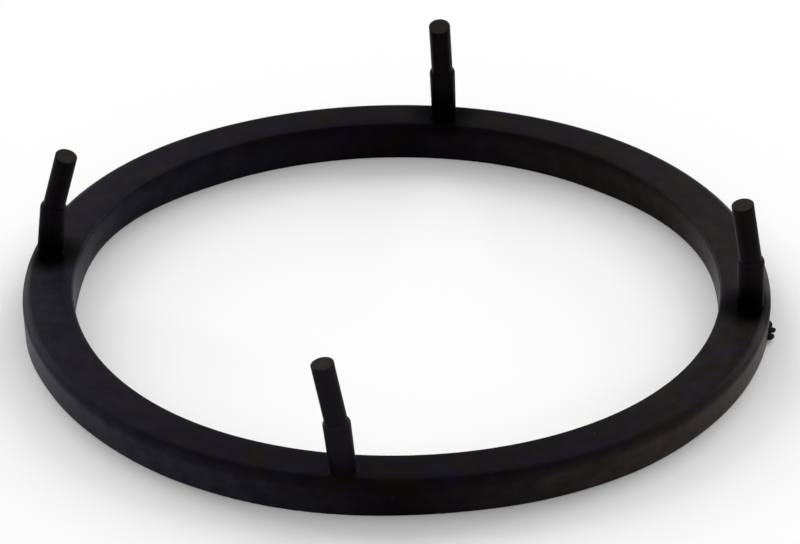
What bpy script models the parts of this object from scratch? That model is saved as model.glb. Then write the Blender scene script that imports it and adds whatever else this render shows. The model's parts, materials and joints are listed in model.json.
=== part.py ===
"""Sewer hose coupler seal: a moulded rubber ring with four two-step pull-through pegs.

Metres, +Z up. The ring lies on its flat sealing face at Z = 0 with its centre over the origin.
The pegs stand up from its top face on the X and Y axes, and each one is bent its own way.
"""

import math

import bmesh
import bpy
from mathutils import Matrix, Vector

# Ring: a drafted section with a soft outer top edge and crisp edges elsewhere
OUTER_RADIUS = 0.0510
RING_WIDTH = 0.0066
RING_HEIGHT = 0.0054
OUTER_DRAFT = 0.0005
INNER_DRAFT = 0.0003
TOP_EDGE_RADIUS = 0.0012
CRISP_EDGE_RADIUS = 0.00015

# Pegs: a thick root, a rounded shoulder, and a thinner tail cut off square.
# A fine crease runs around the tail where it leaves the shoulder.
PEG_OUTWARD_SHIFT = 0.0007
ROOT_FOOT_RADIUS = 0.00176
ROOT_TOP_RADIUS = 0.00183
ROOT_LENGTH = 0.0070
TAIL_RADIUS = 0.00152
TAIL_LENGTH = 0.0093
SHOULDER_HEIGHT = 0.00052
CREASE_WIDTH = 0.00026
CREASE_DEPTH = 0.00014
BEND_LENGTH = 0.0011
FOOT_FILLET = 0.00020
FOOT_SINK = 0.0010
FOOT_EMBED = 0.00005

# Each peg by its angle around the ring, then the lean of its root and of its tail:
# degrees away from upright, and the compass heading of the lean (0 is +X, 90 is +Y)
PEG_BENDS = {
    "peg_east": (-0.4, (1.5, -155.0), (10.2, -147.0)),
    "peg_north": (90.3, (7.4, -97.0), (17.0, -91.0)),
    "peg_west": (179.5, (6.7, 30.0), (17.2, -28.0)),
    "peg_south": (270.45, (6.3, -168.0), (10.9, -163.0)),
}

# Torn moulding gate low on the outer wall: lobes by distance along the wall from its middle,
# height of the centre, half length along the wall, reach out of the wall and half thickness.
# A lobe reaches into the wall by the rooted share of its reach.
GATE_ANGLE = 1.4
GATE_LOBES = {
    "gate_upper": (0.0012, 0.0013, 0.0008, 0.0008, 0.0006),
    "gate_middle": (0.0004, 0.0010, 0.0006, 0.0014, 0.0005),
    "gate_lower": (-0.0006, 0.0006, 0.0007, 0.0013, 0.0005),
}
LOBE_ROOTED_SHARE = 0.3

# Smoothness of the round shapes
RING_STEPS = 144
PEG_STEPS = 28
TOP_EDGE_SEGMENTS = 5
SMALL_EDGE_SEGMENTS = 2
FOOT_FILLET_SEGMENTS = 3
SHOULDER_SEGMENTS = 4
LOBE_SUBDIVISIONS = 2

# Black nitrile rubber
RUBBER_COLOUR = (0.010, 0.010, 0.011, 1.0)
RUBBER_ROUGHNESS = 0.52


def clear_objects():
    for scene_object in list(bpy.data.objects):
        bpy.data.objects.remove(scene_object, do_unlink=True)


def new_collection(name):
    collection = bpy.data.collections.new(name)
    bpy.context.scene.collection.children.link(collection)
    return collection


def rubber_material():
    material = bpy.data.materials.new("black_nitrile_rubber")
    material.use_nodes = True
    shader = material.node_tree.nodes["Principled BSDF"]
    shader.inputs["Base Color"].default_value = RUBBER_COLOUR
    shader.inputs["Roughness"].default_value = RUBBER_ROUGHNESS
    shader.inputs["Metallic"].default_value = 0.0
    return material


def arc(centre_x, centre_z, radius, start, end, segments):
    """Points of an arc in the XZ plane, from start to end degrees."""
    points = []
    for step in range(segments + 1):
        angle = math.radians(start + (end - start) * step / segments)
        points.append((centre_x + radius * math.cos(angle), centre_z + radius * math.sin(angle)))
    return points


def edge_limit(radius):
    """An edge radius, limited by the ring's own width and height."""
    return min(radius, 0.45 * RING_WIDTH, 0.45 * RING_HEIGHT)


def ring_section():
    """The ring's closed section: up the bore, out over the top, down outside and back below."""
    soft = edge_limit(TOP_EDGE_RADIUS)
    crisp = edge_limit(CRISP_EDGE_RADIUS)
    bore = OUTER_RADIUS - RING_WIDTH
    bore_foot = bore - INNER_DRAFT
    outer_foot = OUTER_RADIUS - OUTER_DRAFT
    points = arc(bore_foot + crisp, crisp, crisp, 270, 180, SMALL_EDGE_SEGMENTS)
    points += arc(bore + crisp, RING_HEIGHT - crisp, crisp, 180, 90, SMALL_EDGE_SEGMENTS)
    points += arc(OUTER_RADIUS - soft, RING_HEIGHT - soft, soft, 90, 0, TOP_EDGE_SEGMENTS)
    points += arc(outer_foot - crisp, crisp, crisp, 0, -90, SMALL_EDGE_SEGMENTS)
    return points


def peg_section():
    """Half of a straight peg, from the middle of its cut end down to its sunk foot."""
    crease_foot = ROOT_LENGTH + SHOULDER_HEIGHT
    tip = ROOT_LENGTH + TAIL_LENGTH
    flare = ROOT_FOOT_RADIUS + FOOT_FILLET
    points = [(0.0, tip), (TAIL_RADIUS, tip), (TAIL_RADIUS, crease_foot + CREASE_WIDTH)]
    points += [(TAIL_RADIUS - CREASE_DEPTH, crease_foot + CREASE_WIDTH / 2)]
    for step in range(SHOULDER_SEGMENTS + 1):
        angle = math.radians(90) * step / SHOULDER_SEGMENTS
        radius = TAIL_RADIUS + (ROOT_TOP_RADIUS - TAIL_RADIUS) * math.sin(angle)
        points.append((radius, ROOT_LENGTH + SHOULDER_HEIGHT * math.cos(angle)))
    points += arc(flare, FOOT_FILLET - FOOT_EMBED, FOOT_FILLET, 180, 270, FOOT_FILLET_SEGMENTS)
    points += [(flare, -FOOT_SINK), (0.0, -FOOT_SINK)]
    return points


def turned_object(name, section, closed, steps, collection):
    """A section in the XZ plane turned about Z by a Screw modifier."""
    mesh = bpy.data.meshes.new(name)
    shape = bmesh.new()
    corners = [shape.verts.new((x, 0.0, z)) for x, z in section]
    for first, second in zip(corners, corners[1:]):
        shape.edges.new((first, second))
    if closed:
        shape.edges.new((corners[-1], corners[0]))
    shape.to_mesh(mesh)
    shape.free()
    turned = bpy.data.objects.new(name, mesh)
    collection.objects.link(turned)
    screw = turned.modifiers.new("turn", "SCREW")
    screw.axis = "Z"
    screw.angle = math.tau
    screw.steps = steps
    screw.render_steps = steps
    screw.use_merge_vertices = True
    screw.merge_threshold = 0.00001
    screw.use_smooth_shade = True
    return turned


def made_mesh(source):
    """Replace an object's modifiers by the mesh that they make."""
    depsgraph = bpy.context.evaluated_depsgraph_get()
    mesh = bpy.data.meshes.new_from_object(source.evaluated_get(depsgraph))
    source.modifiers.clear()
    source.data = mesh
    mesh.name = source.name
    return mesh


def leaning(tilt, heading):
    """Unit direction that leans away from upright by tilt degrees towards a heading."""
    sideways = math.sin(math.radians(tilt))
    turn = math.radians(heading)
    return Vector((sideways * math.cos(turn), sideways * math.sin(turn), math.cos(math.radians(tilt))))


def bend_peg(mesh, root_lean, tail_lean):
    """Lean a straight peg's root, and bend its tail over across the shoulder."""
    upright = Vector((0.0, 0.0, 1.0))
    root_way = leaning(*root_lean)
    tail_way = leaning(*tail_lean)
    for vertex in mesh.vertices:
        height = vertex.co.z
        if height <= FOOT_FILLET:
            continue
        across = Vector((vertex.co.x, vertex.co.y, 0.0))
        bent = min(1.0, max(0.0, (height - ROOT_LENGTH) / BEND_LENGTH))
        way = root_way.lerp(tail_way, bent).normalized()
        on_root = root_way * min(height, ROOT_LENGTH)
        on_tail = tail_way * max(0.0, height - ROOT_LENGTH)
        vertex.co = on_root + on_tail + upright.rotation_difference(way) @ across


def as_joined_shape(shape_object):
    shape_object.hide_render = True
    shape_object.display_type = "WIRE"


def make_peg(name, angle, root_lean, tail_lean, collection):
    peg = turned_object(name, peg_section(), False, PEG_STEPS, collection)
    bpy.context.view_layer.update()
    bend_peg(made_mesh(peg), root_lean, tail_lean)
    peg_circle = OUTER_RADIUS - RING_WIDTH / 2 + PEG_OUTWARD_SHIFT
    turn = math.radians(angle)
    peg.location = (peg_circle * math.cos(turn), peg_circle * math.sin(turn), RING_HEIGHT)
    peg.data.set_sharp_from_angle(angle=math.radians(35))
    as_joined_shape(peg)
    return peg


def make_gate_lobe(name, along, height, length, reach, thickness, collection):
    """One lump of the torn gate, rooted in the wall and standing out of it by its reach."""
    mesh = bpy.data.meshes.new(name)
    shape = bmesh.new()
    bmesh.ops.create_icosphere(shape, subdivisions=LOBE_SUBDIVISIONS, radius=1.0)
    half_depth = reach * (1.0 + LOBE_ROOTED_SHARE) / 2
    shape.transform(Matrix.Diagonal((half_depth, length, thickness, 1.0)))
    shape.to_mesh(mesh)
    shape.free()
    mesh.shade_smooth()
    lobe = bpy.data.objects.new(name, mesh)
    collection.objects.link(lobe)
    wall = OUTER_RADIUS - OUTER_DRAFT * (1.0 - height / RING_HEIGHT)
    turn = math.radians(GATE_ANGLE) + along / wall
    middle = wall + reach - half_depth
    lobe.location = (middle * math.cos(turn), middle * math.sin(turn), height)
    lobe.rotation_euler.z = turn
    as_joined_shape(lobe)
    return lobe


def make_seal():
    parts = new_collection("sewer_hose_coupler_seal")
    joined = new_collection("joined_shapes")
    seal = turned_object("coupler_seal", ring_section(), True, RING_STEPS, parts)
    seal.data.materials.append(rubber_material())
    for name, (angle, root_lean, tail_lean) in PEG_BENDS.items():
        make_peg(name, angle, root_lean, tail_lean, joined)
    for name, sizes in GATE_LOBES.items():
        make_gate_lobe(name, *sizes, joined)
    union = seal.modifiers.new("pegs_and_gate", "BOOLEAN")
    union.operation = "UNION"
    union.solver = "EXACT"
    union.operand_type = "COLLECTION"
    union.collection = joined
    return seal


clear_objects()
make_seal()
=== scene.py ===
"""Sewer hose coupler seal: a black moulded rubber ring with four bent pull-through pegs.

The seal lies on a pale floor under soft studio light. Lengths are metres, with +Z up.
"""

import json
import math

import bmesh
import bpy
from bpy.props import FloatProperty, FloatVectorProperty, IntProperty, PointerProperty
from mathutils import Matrix, Quaternion, Vector, noise


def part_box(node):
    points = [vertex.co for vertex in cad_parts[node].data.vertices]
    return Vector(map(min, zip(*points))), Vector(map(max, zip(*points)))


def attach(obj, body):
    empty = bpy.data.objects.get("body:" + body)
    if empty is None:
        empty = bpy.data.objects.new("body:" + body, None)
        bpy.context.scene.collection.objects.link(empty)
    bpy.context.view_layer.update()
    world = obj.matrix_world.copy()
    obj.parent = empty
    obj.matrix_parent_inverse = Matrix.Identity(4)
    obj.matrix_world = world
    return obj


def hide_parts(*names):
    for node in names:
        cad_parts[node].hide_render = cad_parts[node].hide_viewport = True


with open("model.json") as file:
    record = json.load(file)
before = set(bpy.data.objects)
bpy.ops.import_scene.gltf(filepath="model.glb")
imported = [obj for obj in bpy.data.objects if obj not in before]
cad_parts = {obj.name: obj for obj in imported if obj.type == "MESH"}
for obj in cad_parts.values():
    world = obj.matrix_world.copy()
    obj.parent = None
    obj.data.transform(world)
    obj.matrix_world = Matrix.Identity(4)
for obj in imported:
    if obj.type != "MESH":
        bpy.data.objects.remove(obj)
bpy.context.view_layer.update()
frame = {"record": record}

SEAL_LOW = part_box("coupler_seal")[0]
MOUNTS = {mount["name"]: mount for mount in frame["record"]["mounts"]}
UPRIGHT = Vector((0.0, 0.0, 1.0))

bl_info = {
    "name": "Sewer Hose Coupler Seal",
    "version": (1, 0, 0),
    "blender": (4, 5, 0),
    "location": "3D View > Sidebar > Coupler Seal",
    "description": "Makes a moulded rubber coupler seal with pull-through pegs and a studio floor",
    "category": "Add Mesh",
}

# Each peg: its angle around the ring, then the lean of its root and of its tail as degrees away
# from upright and the heading of the lean (0 is +X, 90 is +Y)
PEG_BENDS = {
    "peg_east": (-0.4, (1.5, -155.0), (10.2, -147.0)),
    "peg_north": (90.3, (7.4, -97.0), (17.0, -91.0)),
    "peg_west": (179.5, (6.7, 30.0), (17.2, -28.0)),
    "peg_south": (270.45, (6.3, -168.0), (10.9, -163.0)),
}

# Torn gate: each lobe by its distance along the wall from the gate's middle, the height of its
# centre, its half length along the wall, its reach out of the wall and its half thickness
GATE_LOBES = {
    "gate_upper": (0.0012, 0.0013, 0.0008, 0.0008, 0.0006),
    "gate_middle": (0.0004, 0.0010, 0.0006, 0.0014, 0.0005),
    "gate_lower": (-0.0006, 0.0006, 0.0007, 0.0013, 0.0005),
}
# Step through the noise from one torn lobe to the next, and how deep a lobe is worn on average
LUMP_STEP = 7.3
LUMP_MEAN = 0.5

# The soft ring lies slightly splayed. Each stretch of a wall's foot by its middle and its half
# width in degrees, and how far it stands out of the drafted line
OUTER_SPLAYS = (
    (3.0, 16.0, 0.00040), (198.0, 16.0, 0.00045), (229.0, 18.0, -0.00022), (262.0, 18.0, 0.00015),
    (287.0, 14.0, -0.00017), (333.0, 18.0, -0.00025),
)
BORE_SPLAYS = ((32.0, 29.0, 0.00093), (158.5, 26.0, 0.00093))

# Flash: the length of its ragged teeth, the share of its reach that it keeps on average, and how
# far in from the foot of the wall it starts, in radii of the foot's edge
FLASH_TOOTH = 0.0009
FLASH_MEAN = 0.35
FLASH_ROOT = 1.5

# Faces of the rounded edges and shapes
TOP_EDGE_SEGMENTS = 8
BORE_EDGE_SEGMENTS = 5
CRISP_EDGE_SEGMENTS = 3
CUT_EDGE_SEGMENTS = 3
FOOT_FILLET_SEGMENTS = 6
SHOULDER_STEPS = 8
FACE_CUTS = 9
LOBE_SUBDIVISIONS = 4
PEG_SPACING = 0.0006
SMOOTH_ANGLE = math.radians(40)

# Points this near to each other are merged, and edges this near to a place are on it
MERGE_DISTANCE = 1e-7
SAME_PLACE = 1e-6

# Material slots of the moulding
MOULDED, CUT = 0, 1

# Nitrile rubber's refraction
RUBBER_IOR = 1.52

# Patterns on the rubber, in millimetres: the size of one feature, or the spacing of dust. Real
# moulding grain, torn crumb and dust are some hundredths of a millimetre, too fine to show, so
# they are drawn as coarse as they need to be.
STREAK_WIDTH = 0.5
STREAK_LENGTH = 9.0
PATCH_SIZE = 4.0
CLOUD_SIZE = 2.5
SPECK_SPACING = 2.4
GRAIN_SIZE = 0.22
CRUMB_SIZE = 0.5

# Depth of the grain and the crumb in metres, and how much the streaks add to the grain
GRAIN_DEPTH = 0.000012
CRUMB_DEPTH = 0.00005
STREAK_RELIEF = 0.15

# The range that a noise mostly keeps to, and how far around its middle a patch of colour fills in
NOISE_RANGE = {"From Min": 0.3, "From Max": 0.7}
NOISE_MIDDLE = 0.5
PATCH_SPREAD = 0.15

# Bloom: the least that lies on the top face and on the walls, and how uneven its clouds and
# streaks make it. What is added towards the ring's two sides is painted sheen
LEAST_BLOOM = 0.02
LEAST_WALL_BLOOM = 0.03
CLOUDINESS = 0.35
STREAKINESS = 0.12

# Metres under the top face where the walls' bloom and painted sheen begin and are full, and metres
# in from the outer wall where the bore's share ends and the outer wall's begins
WALL_BLOOM_AND_SHEEN_BEGINS, WALL_BLOOM_AND_SHEEN_FULL = 0.00008, 0.0018
BORE_SIDE, OUTER_SIDE = 0.004, 0.001

# Metres over the top face where the pegs' own bloom begins and is full, how far to the back and
# front it is thinnest and thickest, as a share of the way to the pegs there, and its least share.
# Below where it begins, the roots darken towards their feet: painted shade
PEG_FOOT_SHADE_DARKEST, PEG_FOOT_SHADE_GONE = 0.0002, 0.0045
PEG_BLOOM_BACK, PEG_BLOOM_FRONT = -0.2, 0.9
LEAST_PEG_SHARE = 0.2

# Warmth of the bloom and the painted sheen: how far to the side it turns, and how much the patches sway it
WARM_SIDE = 0.6
WARM_SWAY = 2.4

# Pegs with painted shade around their feet, how far from a foot's middle the painted shade is black, and
# the share of gloss that it leaves
FOOT_SHADED_PEGS = ("peg_east", "peg_north", "peg_west")
FOOT_SHADE_CORE = 0.0016
FOOT_SHADE_GLOSS = 0.3

# Dust: the share of the cells with no speck, and a speck's edge and core as shares of a cell
DUSTLESS_SHARE = 0.8
SPECK_EDGE, SPECK_CORE = 0.05, 0.035

# How much rougher and smoother the streaks are than the rest of the skin
ROUGHNESS_SWAY = 0.02

# Picture: its size and the place of the ring's centre in it, in pixels, and the camera's sensor
# width in millimetres
PHOTO_SIZE = (800, 544)
RING_CENTRE_PIXEL = (396.4, 313.1)
SENSOR_WIDTH = 36.0
NEAREST_SEEN = 0.01

# The floor lies just under the sealing face, and the overhead softbox stands right above
FLOOR_DROP = 0.00002
CARD_ROUGHNESS = 0.9
OVERHEAD_HEIGHT = math.radians(90)
OVERHEAD_SPREAD = math.radians(70)


def length(name, description, default):
    return FloatProperty(name=name, description=description, default=default, unit="LENGTH", precision=5)


def angle(name, description, degrees):
    return FloatProperty(
        name=name, description=description, default=math.radians(degrees), subtype="ANGLE"
    )


def share(name, description, default):
    return FloatProperty(
        name=name, description=description, default=default, min=0.0, max=1.0, subtype="FACTOR"
    )


def number(name, description, default):
    return FloatProperty(name=name, description=description, default=default, min=0.0)


def count(name, description, default):
    return IntProperty(name=name, description=description, default=default, min=1)


def from_hex(digits):
    """Linear RGBA of an sRGB hex colour such as '#1a2b3c'."""
    linear = []
    for start in (1, 3, 5):
        value = int(digits[start:start + 2], 16) / 255
        linear.append(value / 12.92 if value <= 0.04045 else ((value + 0.055) / 1.055) ** 2.4)
    return (*linear, 1.0)


def colour(name, description, default):
    return FloatVectorProperty(
        name=name, description=description, default=from_hex(default), size=4, min=0.0, max=1.0,
        subtype="COLOR",
    )


class RingSizes(bpy.types.PropertyGroup):
    """Sizes of the ring."""

    outer_radius: length("Outer Radius", "Radius over the outer wall", -SEAL_LOW[0])
    width: length("Width", "From the bore to the outer wall", 0.0066)
    height: length("Height", "From face to face", MOUNTS["peg_side_face"]["pos_m"][2])
    outer_draft: length("Outer Draft", "How far the outer wall steps in at its foot", 0.0005)
    inner_draft: length("Inner Draft", "How far the bore narrows at its foot", 0.0003)
    top_edge: length("Top Edge", "Radius of the soft outer top edge", 0.0012)
    crisp_edge: length("Crisp Edges", "Radius of the other edges", 0.00015)
    bore_edge: length("Bore Edge", "Radius of the bore's top edge", 0.0003)
    bore_fall: length("Bore Fall", "How far the top face falls away at the bore", 0.00006)
    bore_fall_width: length("Bore Fall Width", "Width of the stretch that falls away", 0.0020)
    bore_lean: length("Bore Lean", "How far the bore's top leans in", 0.00009)
    side_lean: length("Side Lean", "How far it leans in on the ring's two sides", 0.00024)
    lean_heading: angle("Lean Heading", "Where the bore's top leans in most", 8.6)
    squareness: length("Squareness", "How far the soft ring strays from round", 0.00022)
    square_heading: angle("Square Heading", "Where the ring is flattest", 15.5)
    flash_reach: length("Flash", "Reach of the ragged flash at the foot", 0.00014)
    flash_middle: angle("Flash Middle", "Middle of the stretch with flash", -98.0)
    flash_spread: angle("Flash Spread", "Half of the stretch with flash", 13.0)
    steps: count("Steps", "Faces around the ring", 900)


class PegSizes(bpy.types.PropertyGroup):
    """Sizes of the pegs."""

    outward_shift: length("Outward Shift", "From the middle of the ring's width", 0.0007)
    root_foot_radius: length("Root Foot Radius", "Radius of the root at the ring", 0.00176)
    root_top_radius: length("Root Top Radius", "Radius of the root at the shoulder", 0.00183)
    root_length: length("Root Length", "From the ring to the shoulder", 0.0070)
    tail_radius: length("Tail Radius", "Radius of the thin tail", 0.00152)
    tail_length: length("Tail Length", "From the shoulder to the cut end", 0.0093)
    shoulder_height: length("Shoulder Height", "Height of the rounded shoulder", 0.00052)
    crease_width: length("Crease Width", "Width of the crease over the shoulder", 0.00026)
    crease_depth: length("Crease Depth", "Depth of the crease over the shoulder", 0.00014)
    bend_length: length("Bend Length", "Stretch over which the root bends into the tail", 0.0011)
    foot_fillet: length("Foot Fillet", "Radius where the root meets the ring", 0.0001)
    foot_sink: length("Foot Sink", "How far the foot reaches into the ring", 0.0010)
    foot_embed: length("Foot Embed", "How far the fillet dips under the face", 0.00001)
    cut_edge: length("Cut Edge", "Radius of the cut end's rim", 0.00006)
    steps: count("Steps", "Faces around a peg", 64)


class GateSizes(bpy.types.PropertyGroup):
    """Place and roughness of the torn moulding gate."""

    heading: angle("Heading", "Where the gate stood on the ring", 0.9)
    rooted: share("Rooted Share", "Share of a lobe's reach that is rooted in the wall", 0.3)
    tear_size: length("Tear Size", "Size of the lumps of the torn rubber", 0.00035)
    tear_depth: length("Tear Depth", "Depth of the lumps of the torn rubber", 0.00014)


class RubberLook(bpy.types.PropertyGroup):
    """Colours and finish of the rubber."""

    black: colour("Black", "The rubber's own black", "#080509")
    brown: colour("Brown", "Warmer patches of the skin", "#100a07")
    violet: colour("Violet", "Cooler patches of the skin", "#0b0716")
    # The bloom's greys also colour the painted sheen on the ring's two sides and outer walls
    cool_bloom_and_sheen: colour("Cool Bloom", "Bloom on the left of the ring", "#3a3944")
    warm_bloom_and_sheen: colour("Warm Bloom", "Bloom on the right of the ring", "#433d39")
    dust: colour("Dust", "Specks of dust", "#343232")
    # Painted shade: the black of the corners around three pegs' feet, where the pegs keep the light off
    painted_shade: colour("Oily Black", "The corners around the feet of the oily pegs", "#020202")
    cut: colour("Cut", "Cut ends and torn rubber", "#2f2b28")
    # Bloom is thickened towards the two sides across this heading, which is the camera's, and on the outer
    # walls there: that thickening is painted sheen
    bloom_heading: angle("Bloom Heading", "Where the bloom is thickest, with the side across", 8.6)
    bloom: share("Bloom", "How thick the bloom is there", 0.21)
    wall_bloom_and_sheen: share("Wall Bloom", "How much more lies on the outer wall there", 1.0)
    bore_share: share("Bore Share", "Share of the wall's bloom that lies on the bore", 0.33)
    peg_bloom: share("Peg Bloom", "How thick the bloom is on the front peg", 0.32)
    # How far the painted shade around those feet reaches
    painted_shade_reach: length("Oil Reach", "How far from an oily peg's foot the black fades out", 0.0065)
    roughness: share("Roughness", "Roughness of the moulded skin", 0.3)
    cut_roughness: share("Cut Roughness", "Roughness of cut and torn rubber", 0.7)
    specular: share("Specular", "Specular level of the filled rubber", 0.0102)


class StudioSettings(bpy.types.PropertyGroup):
    """Camera, floor and lights."""

    azimuth: angle("Azimuth", "Heading of the camera around the seal", 8.6)
    elevation: angle("Elevation", "Height of the camera over the floor", 30.92)
    roll: angle("Roll", "Roll of the camera", -0.17)
    distance: length("Distance", "From the camera to the ring's centre", 0.620)
    lens: number("Lens", "Focal length in millimetres", 203.9)
    floor_size: length("Floor Size", "Half of the floor's side", 4.0)
    floor_colour: colour("Floor Colour", "Colour of the floor", "#fdfdfd")
    bounce_colour: colour("Bounce", "Colour that the floor throws back on the seal", "#959595")
    sky_colour: colour("Sky Colour", "Colour of the pale surroundings", "#ffffff")
    sky_strength: number("Sky", "Strength of the pale surroundings as light", 0.58)
    key_strength: number("Key", "Strength of the soft overhead light", 0.15)
    side_strength: number("Sides", "Strength of the two side lights", 1.8)
    side_height: angle("Side Height", "Height of the side lights over the floor", 20.0)
    side_spread: angle("Side Spread", "Width of the side lights, as the seal sees them", 46.0)
    side_heading: angle("Side Heading", "Headings of the side lights, away from straight back", 36.0)


def placed(turn, radius, height):
    """The place at an angle around Z, a distance away from Z and a height."""
    return Vector((radius * math.cos(turn), radius * math.sin(turn), height))


def turned_away(heading, middle):
    """The angle between two headings."""
    return abs((heading - middle + math.pi) % math.tau - math.pi)


def finish_bmesh(name, shape):
    """A smooth object at the origin, with its faces pointing out."""
    bmesh.ops.remove_doubles(shape, verts=shape.verts, dist=MERGE_DISTANCE)
    bmesh.ops.recalc_face_normals(shape, faces=shape.faces)
    mesh = bpy.data.meshes.new(name)
    shape.to_mesh(mesh)
    shape.free()
    mesh.shade_smooth()
    made = bpy.data.objects.new(name, mesh)
    bpy.context.scene.collection.objects.link(made)
    return made


def turn_section(shape, points, closed, steps):
    """Spin a section in the XZ plane once around Z."""
    corners = [shape.verts.new((x, 0.0, z)) for x, z in points]
    edges = [shape.edges.new(pair) for pair in zip(corners, corners[1:])]
    if closed:
        edges.append(shape.edges.new((corners[-1], corners[0])))
    bmesh.ops.spin(
        shape, geom=corners + edges, cent=(0.0, 0.0, 0.0), axis=UPRIGHT, angle=math.tau,
        steps=steps, use_merge=True,
    )
    bmesh.ops.remove_doubles(shape, verts=shape.verts, dist=MERGE_DISTANCE)


def edges_around(shape, radius, height):
    """The edges that run around Z at one radius and height."""
    found = []
    for edge in shape.edges:
        ends = [(vert.co.xy.length - radius, vert.co.z - height) for vert in edge.verts]
        if all(math.hypot(*end) < SAME_PLACE for end in ends):
            found.append(edge)
    return found


def bevel_edges(shape, edges, radius, segments):
    """Round edges off to a radius."""
    bmesh.ops.bevel(
        shape, geom=edges, offset=radius, offset_type="OFFSET", segments=segments, profile=0.5,
        affect="EDGES", material=-1,
    )


def strayed(place, ring):
    """A place moved with the ring's slight squareness."""
    radius = place.xy.length
    if radius < SAME_PLACE:
        return place
    heading = math.atan2(place.y, place.x)
    stray = -ring.squareness * math.cos(4 * (heading - ring.square_heading))
    return Vector((*(place.xy * ((radius + stray) / radius)), place.z))


def bore_side_fall(radius, ring):
    """How far the top face has fallen away towards the bore at a radius."""
    past = max(0.0, ring.outer_radius - ring.width + ring.bore_fall_width - radius)
    return ring.bore_fall * (past / ring.bore_fall_width) ** 2


def soft_edge_fall(radius, ring):
    """How far the soft outer top edge has rounded away at a radius."""
    past = min(ring.top_edge, max(0.0, radius - ring.outer_radius + ring.top_edge))
    return ring.top_edge - math.sqrt(ring.top_edge ** 2 - past ** 2)


def add_bore_fall(shape, ring):
    """Let the top face fall away softly towards the bore."""
    for vert in shape.verts:
        vert.co.z -= bore_side_fall(vert.co.xy.length, ring) * vert.co.z / ring.height


def splay_at(heading, splays):
    """How far a wall's foot stands out at a heading. Each stretch fades out softly at its ends."""
    splay = 0.0
    for middle, spread, reach in splays:
        away = turned_away(heading, math.radians(middle))
        splay += reach * max(0.0, 1.0 - (away / math.radians(spread)) ** 2) ** 2
    return splay


def add_splay(shape, ring):
    """Splay the feet of both walls, and lean the top of the bore in, most on the two sides."""
    for vert in shape.verts:
        radius = vert.co.xy.length
        heading = math.atan2(vert.co.y, vert.co.x)
        high = vert.co.z / ring.height
        outward = min(1.0, max(0.0, (radius - ring.outer_radius + ring.width) / ring.width))
        sideways = abs(math.cos(heading - ring.lean_heading)) ** 3
        lean = ring.bore_lean + (ring.side_lean - ring.bore_lean) * sideways
        bore = splay_at(heading, BORE_SPLAYS) * (1.0 - high) - lean * high
        outer = splay_at(heading, OUTER_SPLAYS) * (1.0 - high)
        bore_near = max(0.0, 1.0 - outward * ring.width / ring.bore_fall_width)
        vert.co.xy *= 1.0 + (bore * bore_near + outer * outward) / radius


def add_flash(shape, ring):
    """Push the foot of the outer wall out into a ragged line of flash."""
    foot_radius = ring.outer_radius - ring.outer_draft
    root_radius = foot_radius - ring.crisp_edge * FLASH_ROOT
    for vert in shape.verts:
        if vert.co.z > ring.crisp_edge or vert.co.xy.length < root_radius:
            continue
        heading = math.atan2(vert.co.y, vert.co.x)
        away = turned_away(heading, ring.flash_middle)
        fade = max(0.0, 1.0 - (away / ring.flash_spread) ** 2)
        along = heading * foot_radius / FLASH_TOOTH
        ragged = max(0.0, FLASH_MEAN + noise.noise(Vector((along, 0.0, 0.0))))
        low = 1.0 - vert.co.z / ring.crisp_edge
        push = ring.flash_reach * fade * ragged * low
        vert.co.xy *= 1.0 + push / vert.co.xy.length


class COUPLERSEAL_OT_ring(bpy.types.Operator):
    """Make the ring: a drafted section turned round, with its edges rounded"""

    bl_idname = "coupler_seal.ring"
    bl_label = "Make Ring"

    def execute(self, context):
        ring = context.scene.seal_ring
        bore = ring.outer_radius - ring.width
        bore_foot = bore - ring.inner_draft
        outer_foot = ring.outer_radius - ring.outer_draft
        outer_corner = outer_foot + ring.outer_draft * ring.height / (ring.height - ring.top_edge)
        section = [
            (bore_foot, 0.0), (bore, ring.height), (outer_corner, ring.height), (outer_foot, 0.0),
        ]
        shape = bmesh.new()
        turn_section(shape, section, True, ring.steps)
        bevel_edges(shape, edges_around(shape, *section[2]), ring.top_edge, TOP_EDGE_SEGMENTS)
        bevel_edges(shape, edges_around(shape, *section[1]), ring.bore_edge, BORE_EDGE_SEGMENTS)
        crisp = edges_around(shape, *section[0]) + edges_around(shape, *section[3])
        bevel_edges(shape, crisp, ring.crisp_edge, CRISP_EDGE_SEGMENTS)
        across = [edge for edge in shape.edges if edge.calc_length() > ring.width / 2]
        bmesh.ops.subdivide_edges(shape, edges=across, cuts=FACE_CUTS, use_grid_fill=True)
        add_bore_fall(shape, ring)
        add_splay(shape, ring)
        add_flash(shape, ring)
        for vert in shape.verts:
            vert.co = strayed(vert.co, ring)
        finish_bmesh("ring", shape)
        return {"FINISHED"}


def arc(centre_x, centre_z, radius, start, end, segments):
    """Points of an arc in the XZ plane, from start to end degrees."""
    points = []
    for step in range(segments + 1):
        turn = math.radians(start + (end - start) * step / segments)
        points.append((centre_x + radius * math.cos(turn), centre_z + radius * math.sin(turn)))
    return points


def even_points(points, spacing):
    """The same outline with points added so that none are further apart than spacing."""
    filled = [Vector(points[0])]
    for point in points[1:]:
        start, end = filled[-1].copy(), Vector(point)
        cuts = max(1, math.ceil((end - start).length / spacing))
        filled += [start.lerp(end, cut / cuts) for cut in range(1, cuts + 1)]
    return filled


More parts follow.
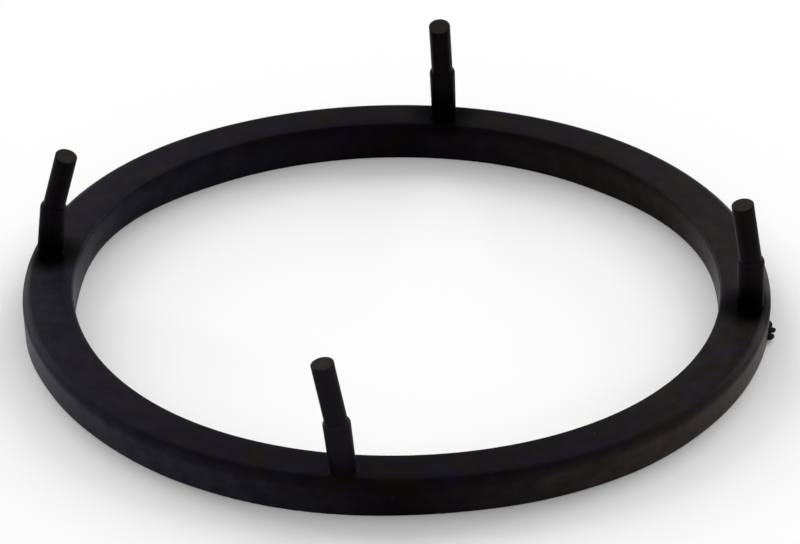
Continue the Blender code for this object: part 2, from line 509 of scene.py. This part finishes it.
def peg_outline(peg):
    """Half of a straight peg, from the middle of its cut end down to its sunk foot."""
    tip = peg.root_length + peg.tail_length
    rim = peg.cut_edge
    fillet = peg.foot_fillet
    flare = peg.root_foot_radius + fillet
    crease_foot = peg.root_length + peg.shoulder_height
    points = [(0.0, tip)]
    points += arc(peg.tail_radius - rim, tip - rim, rim, 90, 0, CUT_EDGE_SEGMENTS)
    points += [(peg.tail_radius, crease_foot + peg.crease_width)]
    points += [(peg.tail_radius - peg.crease_depth, crease_foot + peg.crease_width / 2)]
    rounding = peg.root_top_radius - peg.tail_radius
    for step in range(SHOULDER_STEPS + 1):
        turn = math.radians(90) * step / SHOULDER_STEPS
        across = peg.tail_radius + rounding * math.sin(turn)
        points.append((across, peg.root_length + peg.shoulder_height * math.cos(turn)))
    points += arc(flare, fillet - peg.foot_embed, fillet, 180, 270, FOOT_FILLET_SEGMENTS)
    points += [(flare, -peg.foot_sink), (0.0, -peg.foot_sink)]
    return even_points(points, PEG_SPACING)


def leaning(tilt, heading):
    """Unit direction that leans tilt degrees away from upright, towards a heading."""
    tilt = math.radians(tilt)
    return placed(math.radians(heading), math.sin(tilt), math.cos(tilt))


def peg_foot(around, ring, peg):
    """Where a peg's axis meets the top face of the round ring."""
    circle = ring.outer_radius - ring.width / 2 + peg.outward_shift
    return placed(math.radians(around), circle, ring.height)


def bend_peg(shape, peg, root_lean, tail_lean):
    """Lean the root, and bend the tail over across the shoulder."""
    root_way, tail_way = leaning(*root_lean), leaning(*tail_lean)
    for vert in shape.verts:
        across = Vector((vert.co.x, vert.co.y, 0.0))
        height = vert.co.z
        if height <= peg.foot_fillet:
            continue
        bent = min(1.0, max(0.0, (height - peg.root_length) / peg.bend_length))
        way = root_way.lerp(tail_way, bent).normalized()
        on_root = root_way * min(height, peg.root_length)
        on_tail = tail_way * max(0.0, height - peg.root_length)
        vert.co = on_root + on_tail + UPRIGHT.rotation_difference(way) @ across


class COUPLERSEAL_OT_pegs(bpy.types.Operator):
    """Make the pegs: turned straight, bent, and stood on the ring's top face"""

    bl_idname = "coupler_seal.pegs"
    bl_label = "Make Pegs"

    def execute(self, context):
        ring = context.scene.seal_ring
        peg = context.scene.seal_peg
        tip = peg.root_length + peg.tail_length
        for name, (around, root_lean, tail_lean) in PEG_BENDS.items():
            shape = bmesh.new()
            turn_section(shape, peg_outline(peg), False, peg.steps)
            for face in shape.faces:
                at_tip = face.calc_center_median().z > tip - peg.cut_edge / 2
                face.material_index = CUT if at_tip else MOULDED
            bend_peg(shape, peg, root_lean, tail_lean)
            foot = peg_foot(around, ring, peg)
            # The foot follows the top face down where that falls away
            for vert in shape.verts:
                radius = (vert.co.xy + foot.xy).length
                fall = bore_side_fall(radius, ring) + soft_edge_fall(radius, ring)
                vert.co.z -= fall * max(0.0, 1.0 - vert.co.z / peg.root_length)
            bmesh.ops.translate(shape, verts=shape.verts, vec=strayed(foot, ring))
            finish_bmesh(name, shape)
        return {"FINISHED"}


class COUPLERSEAL_OT_gate(bpy.types.Operator):
    """Make the torn stump of the moulding gate"""

    bl_idname = "coupler_seal.gate"
    bl_label = "Make Torn Gate"

    def execute(self, context):
        ring = context.scene.seal_ring
        gate = context.scene.seal_gate
        for lobe_number, (name, sizes) in enumerate(GATE_LOBES.items()):
            along, height, lobe_length, reach, thickness = sizes
            shape = bmesh.new()
            bmesh.ops.create_icosphere(shape, subdivisions=LOBE_SUBDIVISIONS, radius=1.0)
            wall = ring.outer_radius - ring.outer_draft * (1.0 - height / ring.height)
            turn = gate.heading + along / wall
            half_depth = reach * (1.0 + gate.rooted) / 2
            bmesh.ops.scale(shape, verts=shape.verts, vec=(half_depth, lobe_length, thickness))
            apart = Vector((lobe_number * LUMP_STEP, 0.0, 0.0))
            for vert in shape.verts:
                lump = noise.noise(vert.co / gate.tear_size + apart)
                vert.co *= 1.0 - gate.tear_depth / lobe_length * (LUMP_MEAN + lump)
            spin = Matrix.Rotation(turn, 3, "Z")
            bmesh.ops.rotate(shape, verts=shape.verts, cent=(0.0, 0.0, 0.0), matrix=spin)
            place = strayed(placed(turn, wall + reach - half_depth, height), ring)
            bmesh.ops.translate(shape, verts=shape.verts, vec=place)
            for face in shape.faces:
                face.material_index = CUT
            finish_bmesh(name, shape)
        return {"FINISHED"}


# Sockets of a Mix node: its factor, its two colours and their mix, and its two numbers
FACTOR, FIRST, SECOND, MIXED = 0, 6, 7, 2
FIRST_NUMBER, SECOND_NUMBER = 2, 3


def per_metre(size_mm):
    """Scale of a pattern whose features are size_mm millimetres across."""
    return 1000.0 / size_mm


def add_node(tree, kind, inputs=None, **settings):
    """A node with its settings. An input takes a constant, a socket, or a node's first output."""
    node = tree.nodes.new(kind)
    for name, value in settings.items():
        setattr(node, name, value)
    for name, value in (inputs or {}).items():
        source = value.outputs[0] if isinstance(value, bpy.types.Node) else value
        if isinstance(source, bpy.types.NodeSocket):
            tree.links.new(source, node.inputs[name])
        else:
            node.inputs[name].default_value = source
    return node


def new_material(name):
    material = bpy.data.materials.new(name)
    material.use_nodes = True
    return material, material.node_tree, material.node_tree.nodes["Principled BSDF"]


def streaks_around(tree, flat, radius, up, ring_radius):
    """Noise drawn out around the ring, as flow and wiping leave it. It has no seam."""
    heading = add_node(tree, "ShaderNodeVectorMath", {0: flat}, operation="NORMALIZE")
    turns = add_node(
        tree, "ShaderNodeVectorMath", {0: heading, "Scale": ring_radius * 1000.0 / STREAK_LENGTH},
        operation="SCALE",
    )
    fine = add_node(tree, "ShaderNodeMath", {0: radius, 1: per_metre(STREAK_WIDTH)}, operation="MULTIPLY")
    raised = add_node(tree, "ShaderNodeCombineXYZ", {"Z": fine})
    wound = add_node(tree, "ShaderNodeVectorMath", {0: turns, 1: raised}, operation="ADD")
    height = add_node(tree, "ShaderNodeMath", {0: up, 1: per_metre(STREAK_WIDTH)}, operation="MULTIPLY")
    return add_node(
        tree, "ShaderNodeTexNoise",
        {"Vector": wound, "W": height, "Scale": 1.0, "Detail": 2.0, "Roughness": 0.6},
        noise_dimensions="4D",
    )


def skin_colour(tree, look, patches):
    """The moulded skin's black, with violet and brown patches of a few millimetres."""
    skin = look.black
    tints = ((look.violet, NOISE_MIDDLE + PATCH_SPREAD), (look.brown, NOISE_MIDDLE - PATCH_SPREAD))
    for tint, full in tints:
        amount = add_node(
            tree, "ShaderNodeMapRange", {"Value": patches, "From Min": NOISE_MIDDLE, "From Max": full}
        )
        skin = add_node(
            tree, "ShaderNodeMix", {FACTOR: amount, FIRST: skin, SECOND: tint}, data_type="RGBA"
        ).outputs[MIXED]
    return skin


def bloom_and_side_sheen_on_ring(tree, look, ring, place, side, radius, below, streak):
    """How thick the bloom and painted sheen are on the ring: thickest on its two sides, with more on
    the two walls, and all of it in clouds and streaks. The thickening towards the sides and on
    the walls is painted sheen; the least amount is bloom."""
    # Painted sheen: the top face grows lighter towards the ring's two sides as the camera sees them
    squared = add_node(tree, "ShaderNodeMath", {0: side, 1: side}, operation="MULTIPLY")
    bloom_and_sheen_amount = add_node(
        tree, "ShaderNodeMath", {0: squared, 1: look.bloom, 2: LEAST_BLOOM}, operation="MULTIPLY_ADD"
    )
    outer = add_node(
        tree, "ShaderNodeMapRange",
        {"Value": radius, "From Min": ring.outer_radius - BORE_SIDE,
         "From Max": ring.outer_radius - OUTER_SIDE,
         "To Min": look.bore_share * look.wall_bloom_and_sheen, "To Max": look.wall_bloom_and_sheen},
    )
    # Painted sheen: the outer walls, and the bore less, grow lighter towards the two sides
    sideways = add_node(tree, "ShaderNodeMath", {0: side}, operation="ABSOLUTE")
    sideways = add_node(tree, "ShaderNodeMath", {0: sideways, 1: LEAST_WALL_BLOOM}, operation="ADD")
    walls = add_node(tree, "ShaderNodeMath", {0: below, 1: outer}, operation="MULTIPLY")
    bloom_and_sheen_amount = add_node(
        tree, "ShaderNodeMath", {0: walls, 1: sideways, 2: bloom_and_sheen_amount}, operation="MULTIPLY_ADD"
    )
    clouds = add_node(
        tree, "ShaderNodeTexNoise",
        {"Vector": place, "Scale": per_metre(CLOUD_SIZE), "Detail": 5.0, "Roughness": 0.65},
    )
    for pattern, depth in ((clouds, CLOUDINESS), (streak, STREAKINESS)):
        uneven = add_node(
            tree, "ShaderNodeMapRange",
            {"Value": pattern, **NOISE_RANGE, "To Min": 1.0 - depth, "To Max": 1.0 + depth},
        )
        bloom_and_sheen_amount = add_node(tree, "ShaderNodeMath", {0: bloom_and_sheen_amount, 1: uneven}, operation="MULTIPLY")
    return bloom_and_sheen_amount


def bloom_on_pegs(tree, look, heading):
    """How thick the bloom is on the pegs: it thins out from the front one to the back one."""
    frontward = (math.sin(look.bloom_heading), -math.cos(look.bloom_heading), 0.0)
    front = add_node(tree, "ShaderNodeVectorMath", {0: heading, 1: frontward}, operation="DOT_PRODUCT")
    return add_node(
        tree, "ShaderNodeMapRange",
        {"Value": front.outputs["Value"], "From Min": PEG_BLOOM_BACK, "From Max": PEG_BLOOM_FRONT,
         "To Min": LEAST_PEG_SHARE * look.peg_bloom, "To Max": look.peg_bloom},
    )


def clear_of_painted_shade(tree, look, place, below, feet):
    """0 in the corners around the feet of three pegs, which painted shade blackens, and 1 away from them
    and on the walls.
    """
    unshaded = 1.0
    for foot in feet:
        away = add_node(tree, "ShaderNodeVectorMath", {0: place, 1: foot}, operation="DISTANCE")
        left = add_node(
            tree, "ShaderNodeMapRange",
            {"Value": away.outputs["Value"], "From Min": FOOT_SHADE_CORE, "From Max": look.painted_shade_reach},
            interpolation_type="SMOOTHSTEP",
        )
        unshaded = add_node(tree, "ShaderNodeMath", {0: left, 1: unshaded}, operation="MULTIPLY")
    return add_node(tree, "ShaderNodeMath", {0: unshaded, 1: below}, operation="MAXIMUM")


def bloom_and_sheen_grey(tree, look, side, patches):
    """The grey of the bloom and of the painted sheen, cool on the left and warm on the right, and swayed
    by the patches.
    """
    warm = add_node(
        tree, "ShaderNodeMapRange", {"Value": side, "From Min": -WARM_SIDE, "From Max": WARM_SIDE}
    )
    warm = add_node(
        tree, "ShaderNodeMath", {0: patches, 1: WARM_SWAY, 2: warm}, operation="MULTIPLY_ADD"
    )
    warm = add_node(
        tree, "ShaderNodeMath", {0: warm, 1: WARM_SWAY / 2}, operation="SUBTRACT", use_clamp=True
    )
    return add_node(
        tree, "ShaderNodeMix", {FACTOR: warm, FIRST: look.cool_bloom_and_sheen, SECOND: look.warm_bloom_and_sheen},
        data_type="RGBA",
    ).outputs[MIXED]


def dust_specks(tree, place):
    """1 on a speck of dust. About one cell of five holds one."""
    cells = add_node(tree, "ShaderNodeTexVoronoi", {"Vector": place, "Scale": per_metre(SPECK_SPACING)})
    pick = add_node(tree, "ShaderNodeSeparateColor", {0: cells.outputs["Color"]})
    picked = add_node(tree, "ShaderNodeMath", {0: pick, 1: DUSTLESS_SHARE}, operation="GREATER_THAN")
    speck = add_node(
        tree, "ShaderNodeMapRange",
        {"Value": cells.outputs["Distance"], "From Min": SPECK_EDGE, "From Max": SPECK_CORE},
    )
    return add_node(tree, "ShaderNodeMath", {0: speck, 1: picked}, operation="MULTIPLY")


def moulded_rubber(look, ring, feet):
    """Moulded nitrile rubber: carbon black makes it nearly black and matt face on, and its smooth
    moulded skin turns satin at a low angle. Grey bloom and dust lie on it. Painted sheen lightens its
    two sides and outer walls, and painted shade blackens the corners around three pegs' feet and
    darkens the pegs' roots towards their feet."""
    material, tree, shader = new_material("moulded_nitrile_rubber")
    place = add_node(tree, "ShaderNodeTexCoord").outputs["Object"]
    up = add_node(tree, "ShaderNodeSeparateXYZ", {0: place}).outputs["Z"]
    flat = add_node(tree, "ShaderNodeVectorMath", {0: place, 1: (1.0, 1.0, 0.0)}, operation="MULTIPLY")
    radius = add_node(tree, "ShaderNodeVectorMath", {0: flat}, operation="LENGTH").outputs["Value"]
    heading = add_node(tree, "ShaderNodeVectorMath", {0: place}, operation="NORMALIZE")
    across = (math.cos(look.bloom_heading), math.sin(look.bloom_heading), 0.0)
    side = add_node(tree, "ShaderNodeVectorMath", {0: heading, 1: across}, operation="DOT_PRODUCT")
    side = side.outputs["Value"]
    below = add_node(
        tree, "ShaderNodeMapRange",
        {"Value": up, "From Min": ring.height - WALL_BLOOM_AND_SHEEN_BEGINS,
         "From Max": ring.height - WALL_BLOOM_AND_SHEEN_FULL},
    )
    # Painted shade: low on the pegs the ring's thinner amount takes over, so the roots darken towards
    # their feet
    high = add_node(
        tree, "ShaderNodeMapRange",
        {"Value": up, "From Min": ring.height + PEG_FOOT_SHADE_DARKEST,
         "From Max": ring.height + PEG_FOOT_SHADE_GONE},
    )
    streak = streaks_around(tree, flat, radius, up, ring.outer_radius)
    patches = add_node(
        tree, "ShaderNodeTexNoise", {"Vector": place, "Scale": per_metre(PATCH_SIZE), "Detail": 3.0}
    )

    # Bloom, painted sheen and dust lie on the skin, and painted shade keeps all of them off the corners
    # around some pegs
    on_ring = bloom_and_side_sheen_on_ring(tree, look, ring, place, side, radius, below, streak)
    on_pegs = bloom_on_pegs(tree, look, heading)
    bloom_and_sheen_amount = add_node(
        tree, "ShaderNodeMix", {FACTOR: high, FIRST_NUMBER: on_ring, SECOND_NUMBER: on_pegs},
        data_type="FLOAT",
    )
    unshaded = clear_of_painted_shade(tree, look, place, below, feet)
    bloom_and_sheen_amount = add_node(tree, "ShaderNodeMath", {0: bloom_and_sheen_amount, 1: unshaded}, operation="MULTIPLY")
    layers = (
        (bloom_and_sheen_amount, bloom_and_sheen_grey(tree, look, side, patches)), (dust_specks(tree, place), look.dust),
    )
    skin = skin_colour(tree, look, patches)
    for amount, layer in layers:
        skin = add_node(
            tree, "ShaderNodeMix", {FACTOR: amount, FIRST: skin, SECOND: layer}, data_type="RGBA"
        ).outputs[MIXED]
    # Painted shade: the corners around three pegs' feet turn black
    skin = add_node(
        tree, "ShaderNodeMix", {FACTOR: unshaded, FIRST: look.painted_shade, SECOND: skin}, data_type="RGBA"
    ).outputs[MIXED]
    tree.links.new(skin, shader.inputs["Base Color"])

    rough = add_node(
        tree, "ShaderNodeMapRange",
        {"Value": streak, **NOISE_RANGE, "To Min": look.roughness - ROUGHNESS_SWAY,
         "To Max": look.roughness + ROUGHNESS_SWAY},
    )
    tree.links.new(rough.outputs[0], shader.inputs["Roughness"])
    shader.inputs["IOR"].default_value = RUBBER_IOR
    # Painted shade also dims the gloss in those corners
    gloss = add_node(
        tree, "ShaderNodeMapRange",
        {"Value": unshaded, "To Min": FOOT_SHADE_GLOSS * look.specular, "To Max": look.specular},
    )
    tree.links.new(gloss.outputs[0], shader.inputs["Specular IOR Level"])

    # Moulding grain over the streaks
    grain = add_node(
        tree, "ShaderNodeTexNoise",
        {"Vector": place, "Scale": per_metre(GRAIN_SIZE), "Detail": 3.0, "Roughness": 0.6},
    )
    relief = add_node(
        tree, "ShaderNodeMath", {0: streak, 1: STREAK_RELIEF, 2: grain}, operation="MULTIPLY_ADD"
    )
    bump = add_node(tree, "ShaderNodeBump", {"Strength": 0.5, "Distance": GRAIN_DEPTH, "Height": relief})
    tree.links.new(bump.outputs["Normal"], shader.inputs["Normal"])
    return material


def cut_rubber(look):
    """The same rubber where it was cut or torn: no moulded skin, so it is greyer and dead matt."""
    material, tree, shader = new_material("cut_nitrile_rubber")
    place = add_node(tree, "ShaderNodeTexCoord").outputs["Object"]
    crumb = add_node(
        tree, "ShaderNodeTexNoise",
        {"Vector": place, "Scale": per_metre(CRUMB_SIZE), "Detail": 4.0, "Roughness": 0.6},
    )
    spread = add_node(
        tree, "ShaderNodeMapRange", {"Value": crumb, "From Min": 0.35, "From Max": 0.65, "To Max": 0.35}
    )
    face = add_node(
        tree, "ShaderNodeMix", {FACTOR: spread, FIRST: look.cut, SECOND: look.brown}, data_type="RGBA"
    )
    tree.links.new(face.outputs[MIXED], shader.inputs["Base Color"])
    shader.inputs["Roughness"].default_value = look.cut_roughness
    shader.inputs["IOR"].default_value = RUBBER_IOR
    shader.inputs["Specular IOR Level"].default_value = look.specular
    bump = add_node(tree, "ShaderNodeBump", {"Strength": 0.6, "Distance": CRUMB_DEPTH, "Height": crumb})
    tree.links.new(bump.outputs["Normal"], shader.inputs["Normal"])
    return material


class COUPLERSEAL_OT_moulding(bpy.types.Operator):
    """Join the ring, the pegs and the torn gate into one moulding and give it its rubber"""

    bl_idname = "coupler_seal.moulding"
    bl_label = "Join Moulding"

    def execute(self, context):
        scene = context.scene
        body = bpy.data.objects["ring"]
        feet = [peg_foot(PEG_BENDS[name][0], scene.seal_ring, scene.seal_peg) for name in FOOT_SHADED_PEGS]
        materials = [
            moulded_rubber(scene.seal_rubber, scene.seal_ring, feet), cut_rubber(scene.seal_rubber),
        ]
        joined = bpy.data.collections.new("joined_shapes")
        scene.collection.children.link(joined)
        features = [bpy.data.objects[name] for name in (*PEG_BENDS, *GATE_LOBES)]
        for piece in (body, *features):
            for material in materials:
                piece.data.materials.append(material)
        for feature in features:
            joined.objects.link(feature)
        union = body.modifiers.new("pegs_and_gate", "BOOLEAN")
        union.operation = "UNION"
        union.solver = "EXACT"
        union.operand_type = "COLLECTION"
        union.collection = joined
        depsgraph = context.evaluated_depsgraph_get()
        mesh = bpy.data.meshes.new_from_object(body.evaluated_get(depsgraph))
        for piece in (body, *features):
            bpy.data.objects.remove(piece, do_unlink=True)
        bpy.data.collections.remove(joined)
        seal = bpy.data.objects.new("seal_moulding", mesh)
        scene.collection.objects.link(seal)
        smooth = seal.modifiers.new("even_normals", "WEIGHTED_NORMAL")
        smooth.keep_sharp = True
        mesh.set_sharp_from_angle(angle=SMOOTH_ANGLE)
        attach(seal, "root")
        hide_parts("coupler_seal")
        return {"FINISHED"}


def aim_camera(camera, studio):
    """Put the camera at its heading and height, with the ring's centre on its pixel."""
    level = math.cos(studio.elevation)
    back = Vector((
        math.sin(studio.azimuth) * level, -math.cos(studio.azimuth) * level, math.sin(studio.elevation)
    ))
    right = Vector((math.cos(studio.azimuth), math.sin(studio.azimuth), 0.0))
    up = back.cross(right)
    focal = studio.lens / camera.data.sensor_width * PHOTO_SIZE[0]
    aside = (RING_CENTRE_PIXEL[0] - PHOTO_SIZE[0] / 2) / focal
    above = (PHOTO_SIZE[1] / 2 - RING_CENTRE_PIXEL[1]) / focal
    forward = (-back - right * aside - up * above).normalized()
    turn = forward.to_track_quat("-Z", "Y") @ Quaternion((0.0, 0.0, 1.0), studio.roll)
    camera.rotation_mode = "QUATERNION"
    camera.rotation_quaternion = turn
    camera.location = back * studio.distance


def add_soft_light(scene, name, heading, height, spread, strength):
    """A far, round softbox: it stands at a heading and height, and looks spread wide from the seal."""
    data = bpy.data.lights.new(name, "SUN")
    data.energy = strength
    data.angle = spread
    light = bpy.data.objects.new(name, data)
    towards = placed(heading, math.cos(height), math.sin(height))
    light.rotation_euler = towards.to_track_quat("Z", "Y").to_euler()
    scene.collection.objects.link(light)


def seen_or_mirrored(tree):
    """1 where the camera sees a surface straight, mirrored or through glass, and 0 for its light."""
    path = add_node(tree, "ShaderNodeLightPath").outputs
    seen = add_node(
        tree, "ShaderNodeMath", {0: path["Is Camera Ray"], 1: path["Is Glossy Ray"]}, operation="MAXIMUM"
    )
    return add_node(tree, "ShaderNodeMath", {0: seen, 1: path["Is Transmission Ray"]}, operation="MAXIMUM")


def floor_card(studio):
    """Matt white card. The light that it throws back is held down, as a small table's would be."""
    material, tree, shader = new_material("floor_card")
    card = add_node(
        tree, "ShaderNodeMix",
        {FACTOR: seen_or_mirrored(tree), FIRST: studio.bounce_colour, SECOND: studio.floor_colour},
        data_type="RGBA",
    )
    tree.links.new(card.outputs[MIXED], shader.inputs["Base Color"])
    shader.inputs["Roughness"].default_value = CARD_ROUGHNESS
    shader.inputs["Specular IOR Level"].default_value = 0.0
    return material


def pale_surroundings(studio):
    """White to the eye and in reflections, and weaker as light."""
    world = bpy.data.worlds.new("pale_surroundings")
    world.use_nodes = True
    tree = world.node_tree
    background = tree.nodes["Background"]
    background.inputs["Color"].default_value = studio.sky_colour
    strength = add_node(
        tree, "ShaderNodeMapRange", {"Value": seen_or_mirrored(tree), "To Min": studio.sky_strength}
    )
    tree.links.new(strength.outputs[0], background.inputs["Strength"])
    return world


class COUPLERSEAL_OT_stage(bpy.types.Operator):
    """Make the floor, the soft light and the camera"""

    bl_idname = "coupler_seal.stage"
    bl_label = "Make Studio"

    def execute(self, context):
        scene = context.scene
        studio = scene.seal_studio
        shape = bmesh.new()
        bmesh.ops.create_grid(shape, x_segments=1, y_segments=1, size=studio.floor_size)
        bmesh.ops.translate(shape, verts=shape.verts, vec=(0.0, 0.0, -FLOOR_DROP))
        floor = finish_bmesh("floor", shape)
        floor.data.materials.append(floor_card(studio))
        scene.world = pale_surroundings(studio)
        add_soft_light(
            scene, "overhead_softbox", 0.0, OVERHEAD_HEIGHT, OVERHEAD_SPREAD, studio.key_strength
        )
        back = studio.azimuth + math.radians(90)
        sides = {"right_softbox": back - studio.side_heading, "left_softbox": back + studio.side_heading}
        for name, heading in sides.items():
            add_soft_light(
                scene, name, heading, studio.side_height, studio.side_spread, studio.side_strength
            )
        camera_data = bpy.data.cameras.new("camera")
        camera_data.lens = studio.lens
        camera_data.sensor_width = SENSOR_WIDTH
        camera_data.clip_start = NEAREST_SEEN
        camera = bpy.data.objects.new("camera", camera_data)
        scene.collection.objects.link(camera)
        aim_camera(camera, studio)
        scene.camera = camera
        scene.view_settings.view_transform = "Standard"
        return {"FINISHED"}


class COUPLERSEAL_PT_panel(bpy.types.Panel):
    """The seal's sizes, finish and studio"""

    bl_idname = "COUPLERSEAL_PT_panel"
    bl_label = "Coupler Seal"
    bl_space_type = "VIEW_3D"
    bl_region_type = "UI"
    bl_category = "Coupler Seal"

    def draw(self, context):
        for group_name in SETTINGS:
            group = getattr(context.scene, group_name)
            box = self.layout.box()
            for prop in type(group).__annotations__:
                box.prop(group, prop)
        for operator in OPERATORS:
            self.layout.operator(operator.bl_idname)


SETTINGS = {
    "seal_ring": RingSizes,
    "seal_peg": PegSizes,
    "seal_gate": GateSizes,
    "seal_rubber": RubberLook,
    "seal_studio": StudioSettings,
}
OPERATORS = (
    COUPLERSEAL_OT_ring,
    COUPLERSEAL_OT_pegs,
    COUPLERSEAL_OT_gate,
    COUPLERSEAL_OT_moulding,
    COUPLERSEAL_OT_stage,
)


def register():
    for group_name, group in SETTINGS.items():
        bpy.utils.register_class(group)
        setattr(bpy.types.Scene, group_name, PointerProperty(type=group))
    for operator in OPERATORS:
        bpy.utils.register_class(operator)
    bpy.utils.register_class(COUPLERSEAL_PT_panel)


def unregister():
    bpy.utils.unregister_class(COUPLERSEAL_PT_panel)
    for operator in reversed(OPERATORS):
        bpy.utils.unregister_class(operator)
    for group_name, group in reversed(SETTINGS.items()):
        delattr(bpy.types.Scene, group_name)
        bpy.utils.unregister_class(group)


def main():
    register()
    bpy.ops.coupler_seal.ring()
    bpy.ops.coupler_seal.pegs()
    bpy.ops.coupler_seal.gate()
    bpy.ops.coupler_seal.moulding()
    bpy.ops.coupler_seal.stage()


if __name__ == "__main__":
    main()
